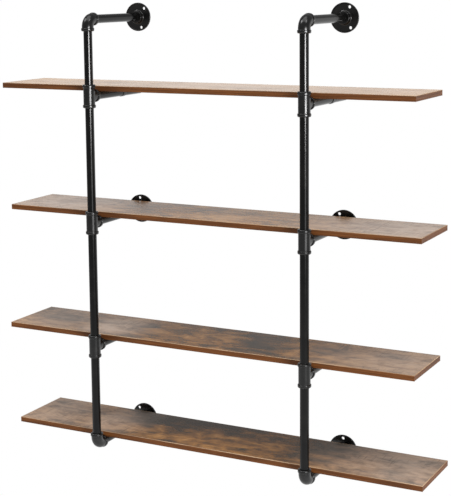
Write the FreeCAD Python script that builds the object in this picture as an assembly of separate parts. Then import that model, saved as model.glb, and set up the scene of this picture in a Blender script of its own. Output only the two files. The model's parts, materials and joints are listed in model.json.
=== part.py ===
import FreeCAD, Part
import math
import os

from FreeCAD import Placement, Rotation, Vector

# A wall-mounted shelving unit: four boards carried on two uprights of screwed black pipe.
# Millimetres. X runs along the boards, +Y points into the wall, +Z is up.
# The origin lies on the wall, midway between the uprights, level with the arms of the second shelf.

# Pipe, and how far it screws into the fittings.
pipe_od = 26.9
pipe_wall = 2.6
pipe_seat = 15.0
fit_clear = 0.05

# Cast tees and elbows, with a rolled rim round every mouth.
fitting_wall = 4.5
rim_h = 2.2
rim_w = 10.0
rim_round_share = 0.8
rim_nose_share = 0.6
rim_cove_share = 0.35
outlet_stub = 3.0
bend_throat = 5.5
branch_slim = 0.8
junction_round = 3.5

# Round wall flange with a raised hub, a lip round its edge and a circle of screw holes.
flange_d = 92.0
flange_edge_t = 5.0
flange_edge_round_share = 0.3
flange_lip_w = 3.5
flange_lip_drop = 1.0
flange_h = 17.0
flange_seat = 11.0
hub_cove = 4.0
hub_round = 1.8
hole_d = 9.5
hole_circle_d = 72.0
hole_count = 3
hole_start_deg = {
    "left_top": 50.0,
    "left_mid": 97.0,
    "left_low": 125.0,
    "right_top": 63.0,
    "right_mid": 114.0,
    "right_low": 90.0,
}

# Shelf boards and the edging glued round them.
board_len = 1400.0
board_depth = 230.0
board_t = 17.0
edging_t = 2.0
edging_round_share = 0.6
board_shift_shares = (-0.0135, 0.0015, -0.0105, 0.0095)

# Where the pipes and the boards stand.
upright_spacing = 725.0
top_rise = 236.0
tier_upper = 396.0
tier_lower = 321.0
front_clear = 0.5
hub_clear = 16.0
rest_clear = 0.1

# Push-in plug in the end of each arm that has no flange.
plug_head_t = 3.0
plug_round_share = 0.65
plug_stem_len = 9.0
plug_wall = 1.5
plug_clear = 0.1

# Saddle strap that holds a board down on its arm, and the screws in its ears.
strap_t = 1.2
strap_w = 16.0
strap_clear = 0.2
strap_hole_out = 9.0
strap_place_share = 0.66
screw_d = 4.0
screw_head_d = 8.0
screw_head_h = 2.4
screw_len = 13.0
screw_tip = 3.0
screw_clear = 0.1

# How far a cut runs past the face that it opens.
cut_over = 1.0

# Sizes and places that follow from the ones above.
pipe_r = pipe_od / 2
bore_r = pipe_r - pipe_wall
socket_r = pipe_r + fit_clear
body_r = socket_r + fitting_wall
rim_r = body_r + rim_h
bend_r = body_r + bend_throat
fitting_reach = bend_r + outlet_stub + rim_w
seat_inset = fitting_reach - pipe_seat
flange_gap = flange_h - flange_seat
upright_y = -(flange_h + hub_clear + board_depth + front_clear + fitting_reach)
arm_len = -upright_y - seat_inset - flange_gap
board_front_y = upright_y + fitting_reach + front_clear
board_lift = pipe_r + rest_clear
strap_y = board_front_y + board_depth * strap_place_share
strap_in_r = pipe_r + strap_clear
strap_out_r = strap_in_r + strap_t
strap_hole_x = strap_out_r + strap_hole_out
screw_r = screw_d / 2

side_x = {"left": -upright_spacing / 2, "right": upright_spacing / 2}
arm_z = (tier_upper, 0, -tier_upper, -tier_upper - tier_lower)
top_z = tier_upper + top_rise
flange_z = {"top": top_z, "mid": arm_z[1], "low": arm_z[3]}
plain_arms = (1, 3)

ORIGIN = Vector(0, 0, 0)
AXIS_X = Vector(1, 0, 0)
AXIS_Y = Vector(0, 1, 0)
AXIS_Z = Vector(0, 0, 1)
FULL_TURN = 360
HALF_TURN = FULL_TURN / 2
QUARTER_TURN = FULL_TURN / 4


def outline(start, *steps):
    """Closed face from start. A step is a point to draw to, or the centre and end of a quarter arc."""
    edges = []
    here = start
    for step in (*steps, start):
        if isinstance(step, tuple):
            centre, end = step
            out = (here - centre) + (end - centre)
            middle = centre + out.normalize() * (here - centre).Length
            edges.append(Part.Arc(here, middle, end).toShape())
        else:
            end = step
            edges.append(Part.LineSegment(here, end).toShape())
        here = end
    return Part.Face(Part.Wire(edges))


def at(radius, height):
    """Point of a turned outline, by its radius and its height."""
    return Vector(radius, 0, height)


def turned(face):
    """Solid made by turning an outline about the Z axis."""
    return face.revolve(ORIGIN, AXIS_Z, FULL_TURN)


def rod(radius, start, end):
    """Cylinder on the Z axis between two heights."""
    return Part.makeCylinder(radius, end - start, Vector(0, 0, start))


def laid(shape, point, direction):
    """Copy of a shape with its Z axis laid along a direction and its origin at a point."""
    copy = shape.copy()
    copy.Placement = Placement(point, Rotation(AXIS_Z, direction)) * shape.Placement
    return copy


def swung(shape, point, axis, angle):
    """Copy of a shape turned about an axis through its origin, then moved to a point."""
    copy = shape.copy()
    copy.Placement = Placement(point, Rotation(axis, angle)) * shape.Placement
    return copy


def pipe(length):
    """Pipe that starts at the origin and runs up."""
    return rod(pipe_r, 0, length).cut(rod(bore_r, -cut_over, length + cut_over))


def mouth(neck_r, start):
    """Neck of a fitting that ends in a rolled rim, from a height up to the fitting's reach."""
    foot = fitting_reach - rim_w
    edge = rim_h * rim_round_share
    cove = rim_h * rim_cove_share
    nose = (rim_r - socket_r) * rim_nose_share
    return turned(outline(
        at(0, start),
        at(neck_r, start),
        at(neck_r, foot - cove),
        (at(neck_r + cove, foot - cove), at(neck_r + cove, foot)),
        at(rim_r - edge, foot),
        (at(rim_r - edge, foot + edge), at(rim_r, foot + edge)),
        at(rim_r, fitting_reach - nose),
        (at(rim_r - nose, fitting_reach - nose), at(rim_r - nose, fitting_reach)),
        at(0, fitting_reach),
    ))


def socket():
    """Space in a mouth that takes the end of a pipe."""
    return rod(socket_r, seat_inset, fitting_reach + cut_over)


def tee():
    """Tee with its run along Z and its branch along +Y, rounded where the two meet."""
    run = mouth(body_r, 0).fuse(laid(mouth(body_r, 0), ORIGIN, -AXIS_Z)).removeSplitter()
    branch = laid(mouth(body_r - branch_slim, 0), ORIGIN, AXIS_Y)
    body = run.fuse(branch).removeSplitter()
    boxes = [(edge, edge.BoundBox) for edge in body.Edges]
    seam = [edge for edge, box in boxes if min(box.XLength, box.YLength, box.ZLength) > branch_slim]
    body = body.makeFillet(junction_round, seam)
    for direction in (AXIS_Z, -AXIS_Z, AXIS_Y):
        body = body.cut(laid(socket(), ORIGIN, direction))
        body = body.cut(laid(rod(bore_r, 0, seat_inset + cut_over), ORIGIN, direction))
    return body


def bend(radius):
    """Quarter bend of one radius, from the +Y mouth round to the -Z mouth."""
    circle = Part.Circle(Vector(0, bend_r, 0), AXIS_Y, radius)
    face = Part.Face(Part.Wire(circle.toShape()))
    return face.revolve(Vector(0, bend_r, -bend_r), AXIS_X, QUARTER_TURN)


def elbow():
    """Quarter elbow with mouths along +Y and -Z."""
    body = bend(body_r)
    for direction in (AXIS_Y, -AXIS_Z):
        body = body.fuse(laid(mouth(body_r, bend_r), ORIGIN, direction))
    body = body.removeSplitter().cut(bend(bore_r))
    for direction in (AXIS_Y, -AXIS_Z):
        body = body.cut(laid(socket(), ORIGIN, direction))
    return body


def flange(start_deg):
    """Wall flange with its back on the XY plane and its hub up, seen from the hub for its angles."""
    flange_r = flange_d / 2
    edge = flange_edge_t * flange_edge_round_share
    lip_r = flange_r - flange_lip_w
    floor = flange_edge_t - flange_lip_drop
    body = turned(outline(
        at(0, 0),
        at(flange_r, 0),
        at(flange_r, flange_edge_t - edge),
        (at(flange_r - edge, flange_edge_t - edge), at(flange_r - edge, flange_edge_t)),
        at(lip_r, flange_edge_t),
        at(lip_r - flange_lip_drop, floor),
        at(rim_r + hub_cove, floor),
        (at(rim_r + hub_cove, floor + hub_cove), at(rim_r, floor + hub_cove)),
        at(rim_r, flange_h - hub_round),
        (at(rim_r - hub_round, flange_h - hub_round), at(rim_r - hub_round, flange_h)),
        at(0, flange_h),
    ))
    body = body.cut(rod(socket_r, flange_gap, flange_h + cut_over))
    body = body.cut(rod(bore_r, -cut_over, flange_h))
    for number in range(hole_count):
        angle = math.radians(start_deg + number * FULL_TURN / hole_count)
        centre = Vector(math.cos(angle), math.sin(angle), 0) * (hole_circle_d / 2)
        hole = rod(hole_d / 2, -cut_over, flange_edge_t + cut_over)
        body = body.cut(hole.translated(centre))
    return body


def plug():
    """Moulded plug: a rounded head on the pipe's end at z = 0 and a hollow stem inside it."""
    edge = plug_head_t * plug_round_share
    stem_r = bore_r - plug_clear
    return turned(outline(
        at(0, 0),
        at(stem_r - plug_wall, 0),
        at(stem_r - plug_wall, -plug_stem_len),
        at(stem_r, -plug_stem_len),
        at(stem_r, 0),
        at(pipe_r, 0),
        at(pipe_r, plug_head_t - edge),
        (at(pipe_r - edge, plug_head_t - edge), at(pipe_r - edge, plug_head_t)),
        at(0, plug_head_t),
    ))


def strap():
    """Saddle strap under a board's underside at z = 0, round a pipe that runs along Y."""
    half_w = strap_w / 2
    ear_x = strap_hole_x + half_w
    axis = at(0, -board_lift)
    band = outline(
        at(-ear_x, 0),
        at(-strap_in_r, 0),
        at(-strap_in_r, -board_lift),
        (axis, at(0, -board_lift - strap_in_r)),
        (axis, at(strap_in_r, -board_lift)),
        at(strap_in_r, 0),
        at(ear_x, 0),
        at(ear_x, -strap_t),
        at(strap_out_r, -strap_t),
        at(strap_out_r, -board_lift),
        (axis, at(0, -board_lift - strap_out_r)),
        (axis, at(-strap_out_r, -board_lift)),
        at(-strap_out_r, -strap_t),
        at(-ear_x, -strap_t),
    ).extrude(AXIS_Y * strap_w).translated(-AXIS_Y * half_w)
    low = -board_lift - strap_out_r - cut_over
    middle = Part.makeBox(2 * strap_hole_x, strap_w, cut_over - low, Vector(-strap_hole_x, -half_w, low))
    for x in (-strap_hole_x, strap_hole_x):
        middle = middle.fuse(rod(half_w, low, cut_over).translated(AXIS_X * x))
    band = band.common(middle)
    for x in (-strap_hole_x, strap_hole_x):
        band = band.cut(rod(screw_r + screw_clear, low, cut_over).translated(AXIS_X * x))
    return band


def screw():
    """Domed wood screw that points up, with the underside of its head at z = 0."""
    head_r = screw_head_d / 2
    dome_r = (head_r ** 2 + screw_head_h ** 2) / (2 * screw_head_h)
    half_angle = math.asin(head_r / dome_r) / 2
    crown = at(0, -screw_head_h)
    brow = at(dome_r * math.sin(half_angle), dome_r * (1 - math.cos(half_angle)) - screw_head_h)
    corners = [at(head_r, 0), at(screw_r, 0), at(screw_r, screw_len - screw_tip), at(0, screw_len), crown]
    edges = [Part.Arc(crown, brow, corners[0]).toShape()]
    edges += [Part.LineSegment(a, b).toShape() for a, b in zip(corners, corners[1:])]
    return turned(Part.Face(Part.Wire(edges)))


def screw_places(number):
    """Points on a board's underside where the screws of its straps go in."""
    return [
        Vector(x + side * strap_hole_x, strap_y, arm_z[number] + board_lift)
        for x in side_x.values()
        for side in (-1, 1)
    ]


def shift_x(number):
    """How far a board lies along the arms from the middle of the uprights."""
    return board_len * board_shift_shares[number]


def board(number):
    """Core of a shelf board, with pilot holes for its strap screws."""
    size = Vector(board_len - 2 * edging_t, board_depth - 2 * edging_t, board_t)
    corner = Vector(shift_x(number) - size.x / 2, board_front_y + edging_t, arm_z[number] + board_lift)
    core = Part.makeBox(size.x, size.y, size.z, corner)
    pilot = rod(screw_r + screw_clear, -cut_over, screw_len - strap_t + screw_clear)
    for place in screw_places(number):
        core = core.cut(pilot.translated(place))
    return core


def edging_strip(length):
    """Strip of edging along X, with its rounded outer face at y = 0 towards -Y."""
    edge = edging_t * edging_round_share
    return outline(
        Vector(0, edging_t, 0),
        Vector(0, edging_t, board_t),
        Vector(0, edge, board_t),
        (Vector(0, edge, board_t - edge), Vector(0, 0, board_t - edge)),
        Vector(0, 0, edge),
        (Vector(0, edge, edge), Vector(0, edge, 0)),
    ).extrude(AXIS_X * length).translated(AXIS_X * (-length / 2))


def edging(number):
    """The four strips of edging round a board."""
    x = shift_x(number)
    z = arm_z[number] + board_lift
    middle_y = board_front_y + board_depth / 2
    long_strip = edging_strip(board_len)
    short_strip = edging_strip(board_depth - 2 * edging_t)
    return Part.makeCompound([
        swung(long_strip, Vector(x, board_front_y, z), AXIS_Z, 0),
        swung(long_strip, Vector(x, board_front_y + board_depth, z), AXIS_Z, HALF_TURN),
        swung(short_strip, Vector(x - board_len / 2, middle_y, z), AXIS_Z, -QUARTER_TURN),
        swung(short_strip, Vector(x + board_len / 2, middle_y, z), AXIS_Z, QUARTER_TURN),
    ])


def upright_nodes(side, x):
    """Pipes and fittings of one upright, from the top elbow down to the bottom elbow."""
    nodes = {}
    joints_z = (top_z, *arm_z)
    for number, (upper, lower) in enumerate(zip(joints_z, joints_z[1:]), 1):
        length = upper - lower - 2 * seat_inset
        foot = Vector(x, upright_y, lower + seat_inset)
        nodes[f"{side}_upright_{number}"] = laid(pipe(length), foot, AXIS_Z)
    nodes[f"{side}_top_elbow"] = elbow().translated(Vector(x, upright_y, top_z))
    nodes[f"{side}_bottom_elbow"] = swung(elbow(), Vector(x, upright_y, arm_z[3]), AXIS_Y, HALF_TURN)
    for number in range(1, len(arm_z)):
        nodes[f"{side}_tee_{number}"] = tee().translated(Vector(x, upright_y, arm_z[number - 1]))
    return nodes


def arm_nodes(side, x):
    """Arms of one upright, with the flange or the plug at the wall end of each."""
    nodes = {}
    root_y = upright_y + seat_inset
    nodes[f"{side}_top_arm"] = laid(pipe(arm_len), Vector(x, root_y, top_z), AXIS_Y)
    for number, z in enumerate(arm_z, 1):
        nodes[f"{side}_arm_{number}"] = laid(pipe(arm_len), Vector(x, root_y, z), AXIS_Y)
        if number in plain_arms:
            nodes[f"{side}_arm_plug_{number}"] = laid(plug(), Vector(x, root_y + arm_len, z), AXIS_Y)
    for row, z in flange_z.items():
        body = flange(hole_start_deg[f"{side}_{row}"])
        nodes[f"{side}_{row}_flange"] = swung(body, Vector(x, 0, z), AXIS_X, QUARTER_TURN)
    return nodes


def shelf_nodes():
    """Boards, their edging, and the straps and screws that hold them down."""
    nodes = {}
    screws = []
    for number in range(len(arm_z)):
        underside = arm_z[number] + board_lift
        nodes[f"shelf_board_{number + 1}"] = board(number)
        nodes[f"shelf_edging_{number + 1}"] = edging(number)
        for side, x in side_x.items():
            nodes[f"{side}_strap_{number + 1}"] = strap().translated(Vector(x, strap_y, underside))
        screws += [screw().translated(place - AXIS_Z * strap_t) for place in screw_places(number)]
    nodes["strap_screws"] = Part.makeCompound(screws)
    return nodes


nodes = shelf_nodes()
for side, x in side_x.items():
    nodes.update(upright_nodes(side, x))
    nodes.update(arm_nodes(side, x))

os.makedirs("parts", exist_ok=True)
for name, shape in nodes.items():
    shape.exportStep(f"parts/{name}.step")
print(len(nodes), "nodes,", sum(len(shape.Solids) for shape in nodes.values()), "solids")
print("all valid:", all(shape.isValid() for shape in nodes.values()))
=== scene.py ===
"""Looks of a wall-mounted shelving unit: rustic brown boards on two uprights of gloss black pipe.

Metres, in the frame of the CAD model: X along the boards, +Y into the wall, +Z up.
"""
import json
import math

import bmesh
import bpy
from mathutils import Matrix, Vector

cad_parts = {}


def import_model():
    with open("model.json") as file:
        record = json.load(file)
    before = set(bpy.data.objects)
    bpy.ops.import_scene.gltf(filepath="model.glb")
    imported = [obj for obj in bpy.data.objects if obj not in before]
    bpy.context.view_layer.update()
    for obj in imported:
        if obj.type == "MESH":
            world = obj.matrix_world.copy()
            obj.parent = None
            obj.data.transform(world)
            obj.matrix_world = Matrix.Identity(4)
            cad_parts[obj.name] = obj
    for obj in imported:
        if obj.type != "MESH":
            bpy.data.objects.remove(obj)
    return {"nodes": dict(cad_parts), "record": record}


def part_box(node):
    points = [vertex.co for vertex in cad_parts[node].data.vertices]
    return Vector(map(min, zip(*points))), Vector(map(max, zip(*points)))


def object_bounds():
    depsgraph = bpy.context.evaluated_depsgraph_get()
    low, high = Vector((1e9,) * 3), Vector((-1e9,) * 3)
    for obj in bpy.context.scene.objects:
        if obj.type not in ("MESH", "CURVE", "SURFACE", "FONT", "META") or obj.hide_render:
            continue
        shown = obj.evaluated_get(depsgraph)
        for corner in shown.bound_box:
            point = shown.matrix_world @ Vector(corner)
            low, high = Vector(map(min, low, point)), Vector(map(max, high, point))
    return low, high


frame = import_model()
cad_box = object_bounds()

# The photograph's height, lens row and focal length in pixels, and where it was taken from.
PHOTO_HEIGHT = 496
LENS_ROW = 165
FOCAL_PX = 1315.65
SENSOR_MM = 36
CAMERA_PLACE = Vector((1.8802, -3.6978, 0.7322))
CAMERA_YAW, CAMERA_PITCH, CAMERA_ROLL = 27.528, -7.788, -0.512

# Studio light: an even fill, and soft keys by bearing from the front, height, strength and angle across.
FILL_LIGHT = 0.34
KEYS = {
    "key_left": (-58, 46, 0.95, 20),
    "key_right": (64, 52, 0.60, 20),
    "key_above": (0, 80, 1.10, 50),
}

# Soft boxes at one bearing from the front and one distance: height of the middle, width, height and power.
SOFTBOX_BEARING = 53
SOFTBOX_DISTANCE = 8.0
SOFTBOXES = {
    "softbox": (0.05, 3.4, 0.8, 460),
    "softbox_foot": (-0.97, 3.6, 1.24, 46),
}

# White sheet behind the unit, and white ground all round, in a dimmer room. The white fades between two
# shares of a direction: towards +Y at the sheet's sides, and towards +Z at its top and at the ground.
SHEET_SIDES = (0.2, 0.7)
SHEET_TOP = (0.09, 0.28)
GROUND_FADE = (-0.30, -0.20)

# Floor: a pale disc well below the unit, which fades between two radii at its rim.
FLOOR_DROP = 1.5
FLOOR_RADIUS = 3.3
FLOOR_RIM = (2.0, FLOOR_RADIUS)
FLOOR_SEGMENTS = 96
FLOOR_ALBEDO = 0.8

nodes = frame["nodes"]
low = cad_box[0]


class Nodes:
    """Short way to add and link the nodes of one material or world."""

    def __init__(self, owner):
        owner.use_nodes = True
        self.tree = owner.node_tree
        self.tree.nodes.clear()

    def add(self, kind, inputs=None, **settings):
        """New node, with its settings, and its inputs by name or number as values or as sockets to link."""
        node = self.tree.nodes.new("ShaderNode" + kind)
        for name, value in settings.items():
            setattr(node, name, value)
        for key, value in (inputs or {}).items():
            if isinstance(value, bpy.types.NodeSocket):
                self.tree.links.new(value, node.inputs[key])
            else:
                node.inputs[key].default_value = value
        return node

    def object_point(self):
        return self.add("TexCoord").outputs["Object"]

    def math(self, operation, a, b=0.0):
        return self.add("Math", {0: a, 1: b}, operation=operation).outputs[0]

    def product(self, first, *others):
        """Numbers multiplied together."""
        for other in others:
            first = self.math("MULTIPLY", first, other)
        return first

    def blend(self, base, *layers):
        """Base plus each layer's value, less a half, times its weight."""
        for value, weight in layers:
            base = self.math("ADD", base, self.math("MULTIPLY", self.math("SUBTRACT", value, 0.5), weight))
        return base

    def stretched(self, point, scale):
        """Point multiplied by a scale for each axis."""
        return self.add("VectorMath", {0: point, 1: scale}, operation="MULTIPLY").outputs[0]

    def noise(self, point, scale, detail=4.0, roughness=0.5, distortion=0.0):
        """Noise value, from about 0.2 to 0.8, of a point stretched by a scale for each axis."""
        inputs = {
            "Vector": self.stretched(point, scale),
            "Scale": 1.0,
            "Detail": detail,
            "Roughness": roughness,
            "Distortion": distortion,
        }
        return self.add("TexNoise", inputs).outputs["Fac"]

    def swayed(self, point, scale, reach):
        """Point moved about by slow noise, at most by half the reach along each axis."""
        noise = self.add("TexNoise", {"Vector": self.stretched(point, scale), "Scale": 1.0, "Detail": 2.0})
        inputs = {0: noise.outputs["Color"], 1: (0.5, 0.5, 0.5)}
        centred = self.add("VectorMath", inputs, operation="SUBTRACT")
        inputs = {0: centred.outputs[0], 1: reach, 2: point}
        return self.add("VectorMath", inputs, operation="MULTIPLY_ADD").outputs[0]

    def spread(self, value, start, end, low=0.0, high=1.0):
        """Value eased from low to high while it goes from start to end."""
        inputs = {"Value": value, "From Min": start, "From Max": end, "To Min": low, "To Max": high}
        return self.add("MapRange", inputs, interpolation_type="SMOOTHSTEP").outputs[0]

    def mix(self, factor, a, b):
        """Colours a and b mixed."""
        return self.add("Mix", {0: factor, 6: a, 7: b}, data_type="RGBA").outputs[2]

    def mix_value(self, factor, a, b):
        """Numbers a and b mixed."""
        return self.add("Mix", {0: factor, 2: a, 3: b}).outputs[0]

    def ramp(self, value, stops):
        """Colour for a value, from stops of position and colour."""
        node = self.add("ValToRGB", {"Fac": value})
        elements = node.color_ramp.elements
        for position, _ in stops[1:-1]:
            elements.new(position)
        for element, (position, colour) in zip(elements, stops):
            element.position = position
            element.color = colour
        return node.outputs["Color"]

    def bump(self, height, strength, distance):
        return self.add("Bump", {"Strength": strength, "Distance": distance, "Height": height}).outputs[0]

    def seen(self):
        """One for camera, glossy and transmission rays, and zero for the rays that carry light."""
        path = self.add("LightPath").outputs
        seen = self.math("MAXIMUM", path["Is Camera Ray"], path["Is Glossy Ray"])
        return self.math("MAXIMUM", seen, path["Is Transmission Ray"])

    def finish(self, shader, output="OutputMaterial"):
        """Link a shader to the output."""
        self.tree.links.new(shader, self.add(output).inputs["Surface"])

    def surface(self, **inputs):
        """Link a principled shader to the output. Its inputs' names have _ for a space."""
        named = {name.replace("_", " "): value for name, value in inputs.items()}
        self.finish(self.add("BsdfPrincipled", named).outputs[0])


def rgb(*values):
    """Colour with full alpha, from linear values."""
    return (*values, 1.0)


def grey(value):
    return rgb(value, value, value)


def new_material(name):
    material = bpy.data.materials.new(name)
    return material, Nodes(material)


# Tone of the print, and how much lighter than that each board is painted, top to bottom: painted sheen makes
# the top board paler, and painted shade makes the lower boards darker.
PRINT_TONE = 0.58
PAINTED_BOARD_SHEEN = (0.27, -0.01, -0.05, -0.12)

# Colours of the print by its tone, and of what lies over it.
PRINT_RAMP = [
    (0.20, rgb(0.036, 0.019, 0.007)),
    (0.36, rgb(0.124, 0.054, 0.013)),
    (0.47, rgb(0.238, 0.103, 0.022)),
    (0.58, rgb(0.355, 0.163, 0.040)),
    (0.70, rgb(0.478, 0.238, 0.072)),
    (0.86, rgb(0.615, 0.338, 0.125)),
]
FLECK_COLOUR = rgb(0.075, 0.036, 0.015)
# Pale colour of the painted sheen patches.
SHEEN_COLOUR = rgb(0.62, 0.49, 0.40)
SMOKE_COLOUR = rgb(0.055, 0.038, 0.022)
PORE_COLOUR = rgb(0.030, 0.019, 0.013)
SAW_COLOUR = rgb(0.045, 0.030, 0.022)

# How far clouds lower the tone, and how much smoke they lay over it.
CLOUD_TONE = 0.28
CLOUD_SMOKE = 0.3

# Smoky clouds in the print: board, place along X, share of the depth from the front, half sizes, strength.
CLOUDS = [
    (1, -0.42, 0.60, 0.16, 0.05, 0.5),
    (1, 0.10, 0.40, 0.20, 0.06, 0.5),
    (2, -0.27, 0.50, 0.10, 0.06, 0.6),
    (2, 0.05, 0.70, 0.16, 0.05, 0.4),
    (2, 0.50, 0.60, 0.10, 0.05, 0.5),
    (3, -0.58, 0.50, 0.20, 0.14, 0.6),
    (3, -0.28, 0.50, 0.06, 0.09, 0.5),
    (3, -0.13, 0.60, 0.05, 0.05, 0.5),
    (3, 0.16, 0.55, 0.11, 0.14, 1.0),
    (3, 0.37, 0.62, 0.08, 0.06, 0.5),
    (3, 0.55, 0.72, 0.09, 0.05, 0.4),
    (4, -0.52, 0.55, 0.12, 0.04, 0.4),
    (4, -0.27, 0.80, 0.12, 0.09, 1.0),
    (4, -0.21, 0.22, 0.03, 0.015, 0.8),
    (4, 0.05, 0.95, 0.45, 0.09, 0.6),
    (4, 0.07, 0.80, 0.12, 0.06, 0.3),
    (4, 0.12, 0.20, 0.03, 0.015, 0.8),
    (4, 0.32, 0.60, 0.12, 0.14, 0.9),
    (4, 0.39, 0.75, 0.14, 0.11, 1.0),
    (4, 0.58, 0.70, 0.16, 0.09, 0.4),
    (4, 0.60, 0.28, 0.05, 0.04, 0.6),
]

# Pale patches of painted sheen, in the same columns: painted reflection at the ends of the lower boards and
# over the whole top board.
SHEEN_PATCHES = [
    (1, 0.00, 0.50, 0.90, 0.40, 0.7),
    (2, -0.58, 0.50, 0.34, 0.30, 1.0),
    (2, 0.62, 0.50, 0.36, 0.30, 1.0),
    (3, -0.58, 0.50, 0.24, 0.30, 0.6),
    (3, -0.38, 0.45, 0.16, 0.18, 1.0),
    (3, 0.62, 0.50, 0.32, 0.30, 0.7),
    (4, -0.60, 0.50, 0.24, 0.30, 0.7),
    (4, -0.40, 0.45, 0.16, 0.18, 0.7),
    (4, 0.62, 0.50, 0.30, 0.30, 0.8),
]

# Half height of each patch, and how many half sizes it reaches.
PATCH_HALF_HEIGHT = 0.05
PATCH_REACH = 1.3

# Edge band: colours of its streaks, of its dark drifts and of the painted highlight along its upper corner,
# and where that corner begins.
EDGE_STREAKS = (rgb(0.090, 0.029, 0.007), rgb(0.190, 0.066, 0.016))
EDGE_DRIFT = rgb(0.058, 0.019, 0.005)
EDGE_HIGHLIGHT = rgb(0.58, 0.40, 0.25)
EDGE_CORNER = (0.90, 0.97)

# Gloss of the boards and their edge band.
BOARD_IOR = 1.5
BOARD_SPECULAR = 0.25

# Black paints: colour, dusty colour, IOR, roughness where glossy and dull, texture per metre and its depth.
BLACK_PAINTS = {
    "black_pipe": (0.003, 0.006, 1.32, 0.12, 0.16, 120, 0.000004),
    "black_fitting": (0.003, 0.007, 1.48, 0.20, 0.27, 240, 0.00004),
    "strap_steel": (0.005, 0.009, 1.46, 0.25, 0.35, 300, 0.0001),
    "screw_steel": (0.014, 0.03, 1.46, 0.26, 0.4, 500, 0.0001),
    "plug_plastic": (0.012, 0.02, 1.46, 0.45, 0.6, 900, 0.0001),
}
DUST_GREEN, DUST_BLUE = 0.95, 0.88
HAZE_SCALE = (28, 28, 28)


def patch_mask(tree, point, patches):
    """How strong a list of soft patches is at a point, from 0 to 1."""
    mask = 0.0
    for number, x, depth_share, half_x, half_y, strength in patches:
        front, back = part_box(f"shelf_board_{number}")
        centre = Vector((x, front.y + (back.y - front.y) * depth_share, back.z))
        inputs = {"Vector": point, "Location": centre, "Scale": (half_x, half_y, PATCH_HALF_HEIGHT)}
        place = tree.add("Mapping", inputs, vector_type="TEXTURE").outputs[0]
        reach = tree.add("VectorMath", {0: place}, operation="LENGTH").outputs["Value"]
        mask = tree.math("MAXIMUM", mask, tree.spread(reach, 0.0, PATCH_REACH, strength, 0.0))
    return mask


def tone_with_painted_sheen(tree, point):
    """Lightness of the print at a point's height, by board, with each board's painted sheen and shade."""
    height = tree.add("SeparateXYZ", {0: point}).outputs["Z"]
    tone = PRINT_TONE + PAINTED_BOARD_SHEEN[-1]
    for number in range(len(PAINTED_BOARD_SHEEN) - 1, 0, -1):
        middle = (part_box(f"shelf_board_{number}")[0].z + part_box(f"shelf_board_{number + 1}")[1].z) / 2
        step = PAINTED_BOARD_SHEEN[number - 1] - PAINTED_BOARD_SHEEN[number]
        tone = tree.math("ADD", tone, tree.math("MULTIPLY", tree.math("GREATER_THAN", height, middle), step))
    return tone


def board_material():
    """Rustic brown laminate: mottled golden to smoky print, grain along X, faint saw marks across it, and
    painted sheen in pale patches and in each board's tone.
    """
    material, tree = new_material("board_decor")
    place = tree.object_point()
    point = tree.swayed(place, (7, 16, 12), (0.08, 0.04, 0.0))
    along = tree.swayed(place, (5, 12, 10), (0.05, 0.014, 0.0))
    patches = tree.noise(point, (3, 9, 7), 4.0, 0.55)
    blotches = tree.noise(point, (17, 32, 20), 5.0, 0.6, 0.4)
    grain = tree.noise(along, (7, 130, 60), 6.0, 0.65)
    pores = tree.noise(along, (22, 800, 150), 2.0)
    flecks = tree.noise(along, (45, 150, 60), 4.0, 0.6, 0.6)
    saw = tree.noise(place, (300, 9, 40), 2.0)
    rough_sawn = tree.spread(tree.noise(point, (5, 9, 9), 2.0), 0.5, 0.6)
    clouds = patch_mask(tree, point, CLOUDS)
    # Painted sheen: pale patches that stand in for the glossy reflection on the boards.
    painted_sheen = tree.product(patch_mask(tree, point, SHEEN_PATCHES), tree.spread(blotches, 0.3, 0.6, 0.5, 0.85))
    tone = tree.blend(tone_with_painted_sheen(tree, place), (patches, 0.8), (blotches, 1.0), (grain, 0.45))
    tone = tree.math("SUBTRACT", tone, tree.math("MULTIPLY", clouds, CLOUD_TONE))
    fleck_mask = tree.spread(flecks, 0.56, 0.70, 0.0, 0.5)
    pore_mask = tree.spread(pores, 0.60, 0.70, 0.0, 0.5)
    saw_mask = tree.product(tree.spread(saw, 0.55, 0.70, 0.0, 0.45), rough_sawn)
    colour = tree.mix(fleck_mask, tree.ramp(tone, PRINT_RAMP), FLECK_COLOUR)
    colour = tree.mix(painted_sheen, colour, SHEEN_COLOUR)
    colour = tree.mix(tree.math("MULTIPLY", clouds, CLOUD_SMOKE), colour, SMOKE_COLOUR)
    colour = tree.mix(pore_mask, colour, PORE_COLOUR)
    colour = tree.mix(saw_mask, colour, SAW_COLOUR)
    roughness = tree.spread(grain, 0.3, 0.7, 0.26, 0.20)
    height = tree.math("SUBTRACT", grain, tree.math("ADD", pore_mask, saw_mask))
    bump = tree.bump(height, 0.05, 0.0002)
    tree.surface(Base_Color=colour, Roughness=roughness, Normal=bump,
                 IOR=BOARD_IOR, Specular_IOR_Level=BOARD_SPECULAR)
    return material


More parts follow.
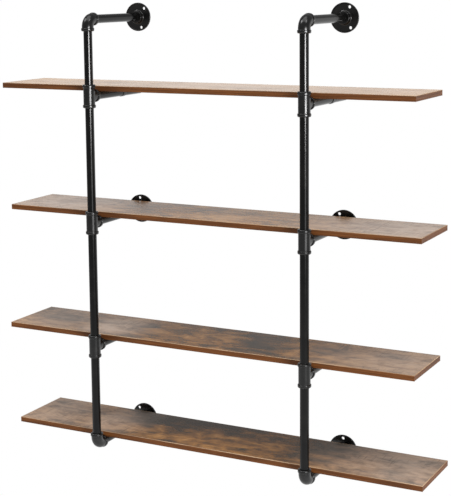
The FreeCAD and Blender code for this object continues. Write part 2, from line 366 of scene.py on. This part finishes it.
def edging_material():
    """Satin red-brown edge band with fine streaks, and a painted highlight that makes its upper corner
    paler.
    """
    material, tree = new_material("board_edging")
    point = tree.object_point()
    streaks = tree.noise(point, (6, 6, 400), 5.0, 0.6)
    drift = tree.noise(point, (5, 5, 40), 4.0, 0.6)
    colour = tree.mix(tree.spread(streaks, 0.3, 0.7), *EDGE_STREAKS)
    colour = tree.mix(tree.spread(drift, 0.42, 0.68, 0.0, 0.6), colour, EDGE_DRIFT)
    inside = tree.add("TexCoord").outputs["Generated"]
    height = tree.add("SeparateXYZ", {0: inside}).outputs["Z"]
    # Painted highlight: the rounded upper corner of the band made paler, in place of its glint.
    painted_sheen = tree.product(tree.spread(height, *EDGE_CORNER), tree.spread(drift, 0.35, 0.6, 0.45, 1.0))
    colour = tree.mix(painted_sheen, colour, EDGE_HIGHLIGHT)
    roughness = tree.spread(streaks, 0.2, 0.8, 0.55, 0.45)
    bump = tree.bump(streaks, 0.08, 0.0002)
    tree.surface(Base_Color=colour, Roughness=roughness, Normal=bump,
                 IOR=BOARD_IOR, Specular_IOR_Level=BOARD_SPECULAR)
    return material


def black_paint(name, colour, dusty, ior, gloss, dull, texture_scale, texture_depth):
    """Black paint with a slight orange peel, a little dust in its colour and uneven gloss."""
    material, tree = new_material(name)
    point = tree.object_point()
    peel = tree.noise(point, (texture_scale,) * 3, 3.0, 0.55)
    haze = tree.noise(point, HAZE_SCALE, 4.0, 0.6)
    dust = rgb(dusty, dusty * DUST_GREEN, dusty * DUST_BLUE)
    tint = tree.mix(tree.spread(haze, 0.42, 0.75), grey(colour), dust)
    roughness = tree.spread(haze, 0.25, 0.75, gloss, dull)
    tree.surface(Base_Color=tint, Roughness=roughness, IOR=ior, Normal=tree.bump(peel, 0.2, texture_depth))
    return material


def dress():
    """Give every CAD node its material."""
    finishes = {"board_decor": board_material(), "board_edging": edging_material()}
    for name, values in BLACK_PAINTS.items():
        finishes[name] = black_paint(name, *values)
    for subpart in frame["record"]["subparts"]:
        mesh = nodes[subpart["node"]].data
        mesh.materials.clear()
        mesh.materials.append(finishes[subpart["material_slot"]])


def floor():
    """Round pale floor below the unit, which keeps its shadow, fades at its rim and is clear from below."""
    mesh = bpy.data.meshes.new("floor")
    disc = bmesh.new()
    bmesh.ops.create_circle(disc, cap_ends=True, segments=FLOOR_SEGMENTS, radius=FLOOR_RADIUS)
    disc.to_mesh(mesh)
    disc.free()
    obj = bpy.data.objects.new("floor", mesh)
    obj.location = (0, 0, low.z - FLOOR_DROP)
    bpy.context.scene.collection.objects.link(obj)
    material, tree = new_material("floor")
    mesh.materials.append(material)
    pale = tree.add("BsdfDiffuse", {"Color": grey(FLOOR_ALBEDO)}).outputs[0]
    reach = tree.add("VectorMath", {0: tree.object_point()}, operation="LENGTH").outputs["Value"]
    under = tree.add("NewGeometry").outputs["Backfacing"]
    gone = tree.math("MAXIMUM", under, tree.spread(reach, *FLOOR_RIM))
    clear = tree.add("BsdfTransparent").outputs[0]
    tree.finish(tree.add("MixShader", {0: gone, 1: pale, 2: clear}).outputs[0])


def world():
    """Even fill of light, and the white sheet and ground, which camera, gloss and glass show alike."""
    scene_world = bpy.data.worlds.new("studio")
    bpy.context.scene.world = scene_world
    tree = Nodes(scene_world)
    towards = tree.add("SeparateXYZ", {0: tree.add("TexCoord").outputs["Generated"]}).outputs
    sides = tree.spread(towards["Y"], *SHEET_SIDES)
    top = tree.spread(towards["Z"], *SHEET_TOP, 1.0, 0.0)
    ground = tree.spread(towards["Z"], *GROUND_FADE, 1.0, 0.0)
    white = tree.math("MAXIMUM", tree.product(sides, top), ground)
    level = tree.mix_value(tree.product(white, tree.seen()), FILL_LIGHT, 1.0)
    tree.finish(tree.add("Background", {"Color": grey(1), "Strength": level}).outputs[0], "OutputWorld")


def aimed(obj, place, target=(0, 0, 0)):
    """Put a lamp at a place and point it at a target."""
    obj.location = place
    obj.rotation_euler = (Vector(target) - Vector(place)).to_track_quat("-Z", "Y").to_euler()
    bpy.context.scene.collection.objects.link(obj)


def keys():
    """Soft key lights from afar, by their bearing from the front and their height in degrees."""
    for name, (bearing, height, strength, angle) in KEYS.items():
        data = bpy.data.lights.new(name, "SUN")
        data.energy = strength
        data.angle = math.radians(angle)
        bearing, height = math.radians(bearing), math.radians(height)
        level = math.cos(height)
        aimed(bpy.data.objects.new(name, data),
              (level * math.sin(bearing), -level * math.cos(bearing), math.sin(height)))


def softboxes():
    """Upright soft boxes that face the unit from the front right, unseen by the camera."""
    bearing = math.radians(SOFTBOX_BEARING)
    x, y = SOFTBOX_DISTANCE * math.sin(bearing), -SOFTBOX_DISTANCE * math.cos(bearing)
    for name, (middle, wide, tall, power) in SOFTBOXES.items():
        data = bpy.data.lights.new(name, "AREA")
        data.shape = "RECTANGLE"
        data.size, data.size_y = wide, tall
        data.energy = power
        obj = bpy.data.objects.new(name, data)
        obj.visible_camera = False
        aimed(obj, (x, y, middle), (0, 0, middle))


def camera():
    """Camera at the photograph's place and angle, shifted to its frame."""
    data = bpy.data.cameras.new("camera")
    data.sensor_width = SENSOR_MM
    data.lens = FOCAL_PX * SENSOR_MM / PHOTO_HEIGHT
    data.shift_y = (LENS_ROW - PHOTO_HEIGHT / 2) / PHOTO_HEIGHT
    obj = bpy.data.objects.new("camera", data)
    turn = Matrix.Rotation(math.radians(CAMERA_YAW), 4, "Z")
    tilt = Matrix.Rotation(math.radians(90 + CAMERA_PITCH), 4, "X")
    roll = Matrix.Rotation(math.radians(CAMERA_ROLL), 4, "Z")
    obj.matrix_world = Matrix.Translation(CAMERA_PLACE) @ turn @ tilt @ roll
    bpy.context.scene.collection.objects.link(obj)
    bpy.context.scene.camera = obj


dress()
floor()
world()
keys()
softboxes()
camera()
bpy.context.scene.view_settings.view_transform = "Standard"
